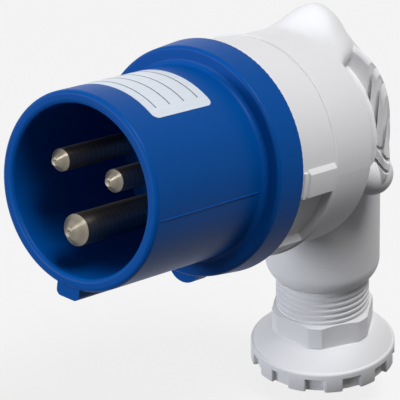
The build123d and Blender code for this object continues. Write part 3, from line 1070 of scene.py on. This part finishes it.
class PLUG_OT_locking_ring(bpy.types.Operator):
    """Builds the locking ring with its rail, windows and latch blocks, all with turned edges"""

    bl_idname = "plug.locking_ring"
    bl_label = "Build locking ring"

    def execute(self, context):
        mesh = locking_ring(context.scene.plug_ring)
        piece = settle(mesh, "locking_ring", "plug", "pale_moulded_polyamide")
        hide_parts("bayonet_ring")
        return {"FINISHED"}


class PLUG_OT_gland_screw(bpy.types.Operator):
    """Builds the gland screw: core, hexagon, bell, hand wheel with its teeth, and helical thread"""

    bl_idname = "plug.gland_screw"
    bl_label = "Build gland screw"

    def execute(self, context):
        makers = {
            "gland_core": gland_core,
            "gland_hexagon": gland_hexagon,
            "gland_teeth": gland_teeth,
            "gland_thread": gland_thread,
        }
        for name, maker in makers.items():
            mesh = maker(context.scene.plug_gland)
            mesh.transform(GLAND_FRAME)
            piece = settle(mesh, name, "gland", "pale_moulded_polyamide")
            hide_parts("gland_screw")
        return {"FINISHED"}


class PLUG_OT_parting_lines(bpy.types.Operator):
    """Lays the fine flash of the mould's parting line along both sides of the shroud"""

    bl_idname = "plug.parting_lines"
    bl_label = "Build parting lines"

    def execute(self, context):
        for side, name in ((1, "parting_line_left"), (-1, "parting_line_right")):
            mesh = parting_line(name, context.scene.plug_label, side)
            settle(mesh, name, "plug", "blue_moulded_polyamide")
        return {"FINISHED"}


class PLUG_OT_label(bpy.types.Operator):
    """Lays the label film on top of the shroud, with blank printed rules"""

    bl_idname = "plug.label"
    bl_label = "Build label"

    def execute(self, context):
        sizes = context.scene.plug_label
        front, back = sizes.front, sizes.back
        radius = sizes.shroud_diameter / 2 + sizes.film
        reach = radius * sizes.half_angle
        # Film and print are sunk a little into what carries them, so that no gap shows
        sunk = sizes.film / 4
        thickness = sizes.film + sunk
        faces = {"across": 64, "straight": 24, "rounds": 8}
        film = film_patch("label_film", radius, thickness, front, back, reach, sizes.corner, **faces)
        settle(film, "label_film", "plug", "silvered_polyester_film")
        first = front + sizes.margin
        room = back - front - 2 * sizes.margin - sizes.rule
        printed = reach - sizes.margin
        faces = {"across": 48, "straight": 1, "rounds": 2}
        rule = film_patch(
            "label_rule",
            radius + sunk,
            2 * sunk,
            first,
            first + sizes.rule,
            printed,
            sizes.rule / 3,
            **faces,
        )
        rules = bake_nodes(
            "label_rules",
            row_tree(),
            rule,
            {
                "Count": sizes.rules,
                "Spacing": room / (sizes.rules - 1),
                "Finish": finish("thermal_printing_ink"),
            },
        )
        settle(rules, "label_rules", "plug", "thermal_printing_ink")
        return {"FINISHED"}


class PLUG_OT_stage(bpy.types.Operator):
    """Sets up the floor, the room, the lamps and the camera"""

    bl_idname = "plug.stage"
    bl_label = "Build stage"

    def execute(self, context):
        scene = context.scene
        sizes = scene.plug_stage
        lay_floor(scene, sizes)
        light_room(scene, sizes)
        place_lamps(scene, sizes)
        place_camera(scene, sizes)
        scene.view_settings.view_transform = "Standard"
        return {"FINISHED"}


class VIEW3D_PT_plug(bpy.types.Panel):
    """Lists the plug's sizes, finishes and building steps"""

    bl_label = "Angled industrial plug"
    bl_space_type = "VIEW_3D"
    bl_region_type = "UI"
    bl_category = "Plug"

    def draw(self, context):
        for name, group in GROUPS.items():
            box = self.layout.box()
            owner = getattr(context.scene, name)
            for size in group.__annotations__:
                box.prop(owner, size)
        for operator in OPERATORS:
            self.layout.operator(operator.bl_idname)


GROUPS = {
    "plug_finishes": PlugFinishes,
    "plug_ring": PlugRing,
    "plug_gland": PlugGland,
    "plug_label": PlugLabel,
    "plug_stage": PlugStage,
}
OPERATORS = (
    PLUG_OT_finish_mouldings,
    PLUG_OT_finish_metal,
    PLUG_OT_finish_seals,
    PLUG_OT_locking_ring,
    PLUG_OT_gland_screw,
    PLUG_OT_parting_lines,
    PLUG_OT_label,
    PLUG_OT_stage,
)


def register():
    """Registers the property groups, the operators and the panel."""
    for name, group in GROUPS.items():
        bpy.utils.register_class(group)
        setattr(bpy.types.Scene, name, bpy.props.PointerProperty(type=group))
    for operator in OPERATORS:
        bpy.utils.register_class(operator)
    bpy.utils.register_class(VIEW3D_PT_plug)


def unregister():
    """Takes all that register added away again, in the opposite order."""
    bpy.utils.unregister_class(VIEW3D_PT_plug)
    for operator in reversed(OPERATORS):
        bpy.utils.unregister_class(operator)
    for name, group in reversed(GROUPS.items()):
        delattr(bpy.types.Scene, name)
        bpy.utils.unregister_class(group)


def main():
    """Builds the whole plug on its stage."""
    register()
    bpy.ops.plug.finish_mouldings()
    bpy.ops.plug.finish_metal()
    bpy.ops.plug.finish_seals()
    bpy.ops.plug.locking_ring()
    bpy.ops.plug.gland_screw()
    bpy.ops.plug.parting_lines()
    bpy.ops.plug.label()
    bpy.ops.plug.stage()


if __name__ == "__main__":
    main()
